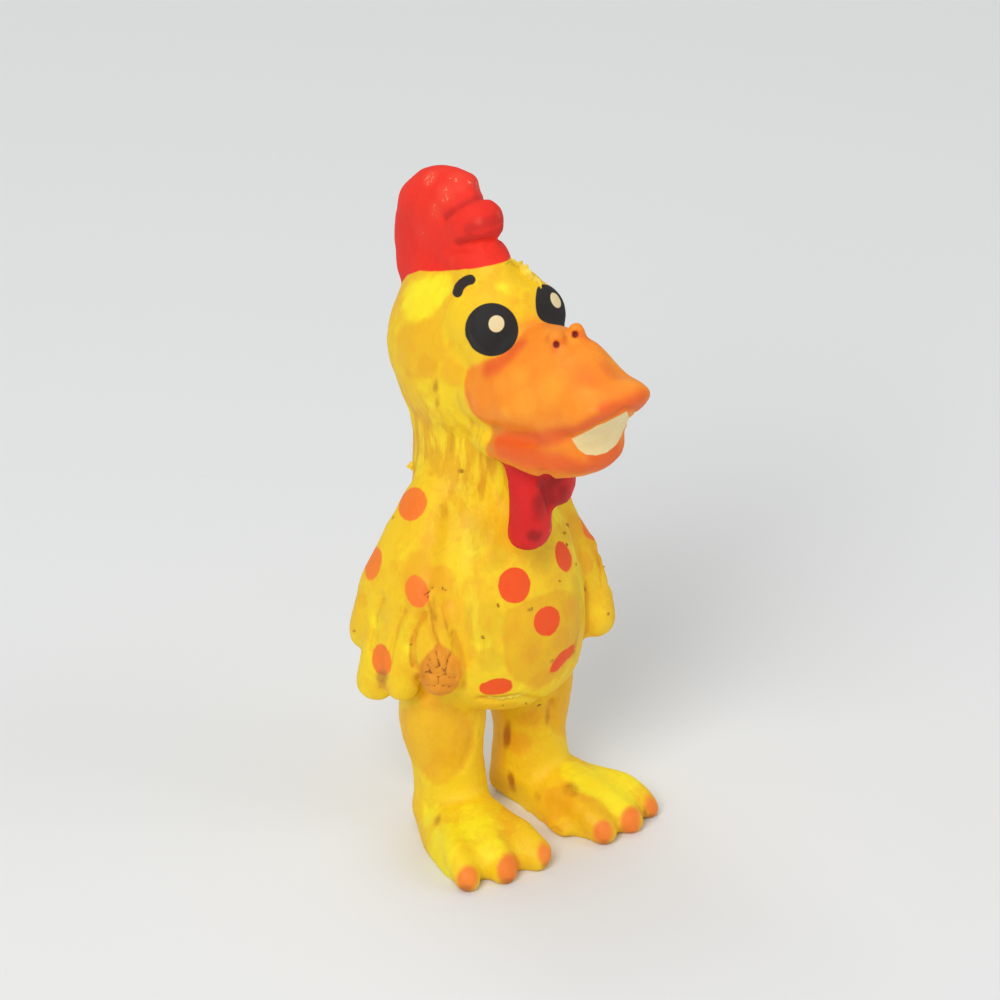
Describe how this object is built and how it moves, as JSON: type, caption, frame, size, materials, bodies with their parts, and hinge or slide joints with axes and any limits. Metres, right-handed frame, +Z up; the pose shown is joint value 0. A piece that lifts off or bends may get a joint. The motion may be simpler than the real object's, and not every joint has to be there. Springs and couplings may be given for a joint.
{
  "type": "rubber duck",
  "caption": "Moulded latex toy duck that stands upright, with a tall lobed comb, a long bill, hanging wattles, drooping feathered wings and two broad webbed feet.",
  "frame": {"origin": "middle of the bounding box, on the floor between the feet", "axes": "+Z up, the bill looks along -Y, the toy's own left side is +X"},
  "size_m": [0.0704, 0.0958, 0.1814],
  "materials": {
    "latex": "satin natural latex, cast in one skin and painted: yellow body, red comb and wattles, orange bill, spots and nails, black eyes"
  },
  "bodies": {
    "root": {"duck": "latex"}
  },
  "joints": []
}
